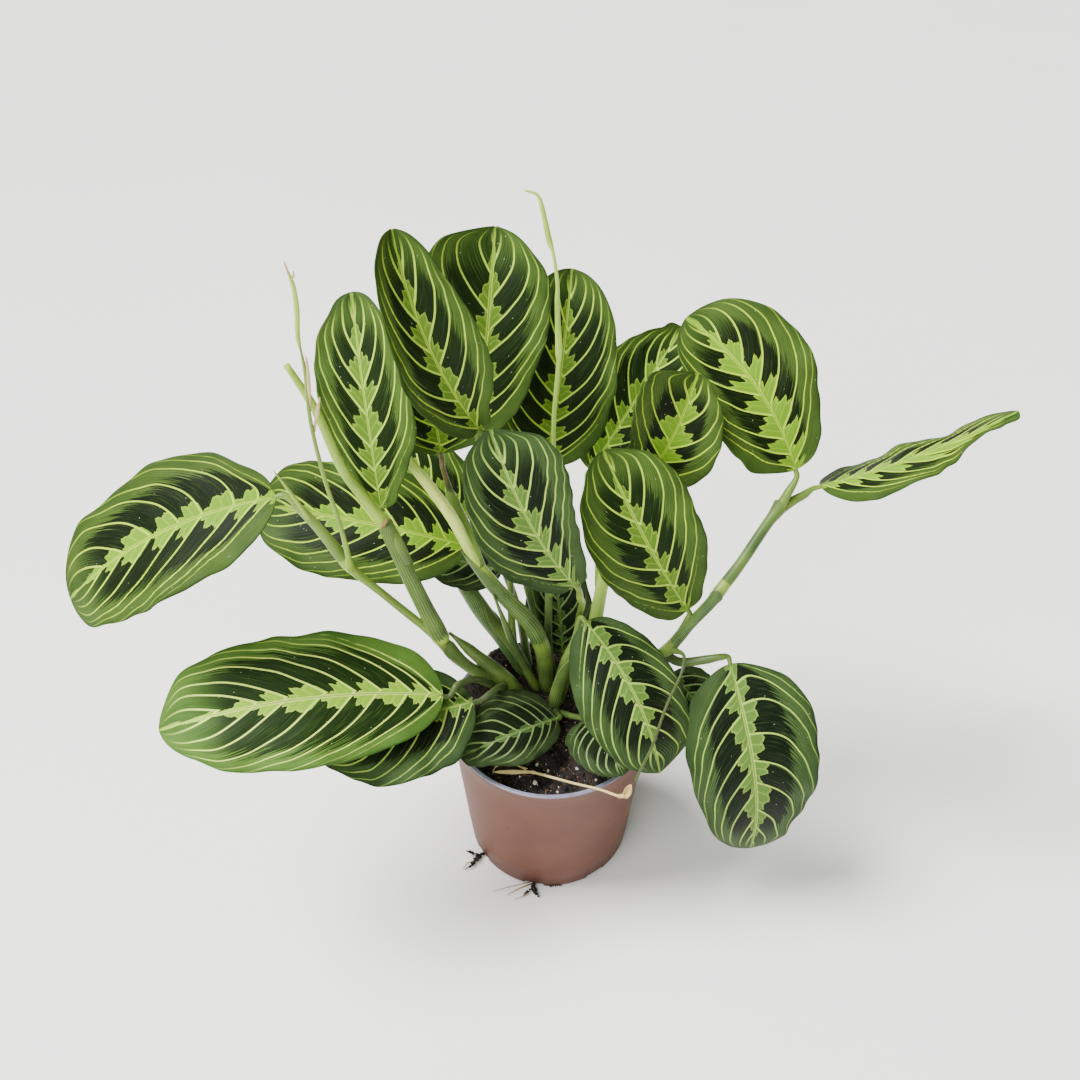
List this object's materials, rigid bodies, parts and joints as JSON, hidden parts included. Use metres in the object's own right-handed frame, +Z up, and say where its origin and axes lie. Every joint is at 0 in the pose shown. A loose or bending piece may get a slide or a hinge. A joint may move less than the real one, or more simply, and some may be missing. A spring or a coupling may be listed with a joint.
{
  "type": "potted prayer plant (maranta)",
  "caption": "Leafy house plant with broad patterned oval leaves on jointed stems, standing in soil in its thin plastic nursery pot.",
  "frame": {"origin": "centre of the pot's underside, on the surface that the pot stands on", "axes": "+Z up along the pot's axis, +X to the right along the widest spread of the foliage, -Y the front that the leaves face"},
  "size_m": [0.4986, 0.2205, 0.4046],
  "materials": {
    "pot": "thin semi-matt moulded plastic, terracotta brown",
    "soil": "dark crumbly peat",
    "leaf": "satin leaf, lime midrib band and veins on dark green",
    "stem": "satin pale green stem",
    "straw": "dry straw",
    "root": "black peat with thin dry roots"
  },
  "bodies": {
    "root": {"pot": "pot", "soil": "soil", "shoot_left": "stem", "shoot_middle": "stem", "shoot_centre": "stem", "shoot_back": "stem", "shoot_right": "stem", "shoot_front": "stem", "dry_stalk": "straw", "root_tuft_left": "root", "root_tuft_front": "root", "leaf_front_top_left": "leaf", "leaf_top_left": "leaf", "leaf_left_upright": "leaf", "leaf_centre_upright": "leaf", "leaf_top_centre": "leaf", "leaf_back_right": "leaf", "leaf_small_right": "leaf", "leaf_large_right": "leaf", "leaf_far_right": "leaf", "leaf_centre_right": "leaf", "leaf_right_hanging": "leaf", "leaf_front_drooping": "leaf", "leaf_far_left": "leaf", "leaf_mid_left": "leaf", "leaf_bottom_left": "leaf", "leaf_under_left": "leaf", "leaf_over_rim": "leaf", "leaf_on_soil": "leaf", "leaf_behind_centre": "leaf", "leaf_small_behind": "leaf", "leaf_behind_stems": "leaf", "leaf_below_mid_left": "leaf", "leaf_behind_right": "leaf"}
  },
  "joints": []
}
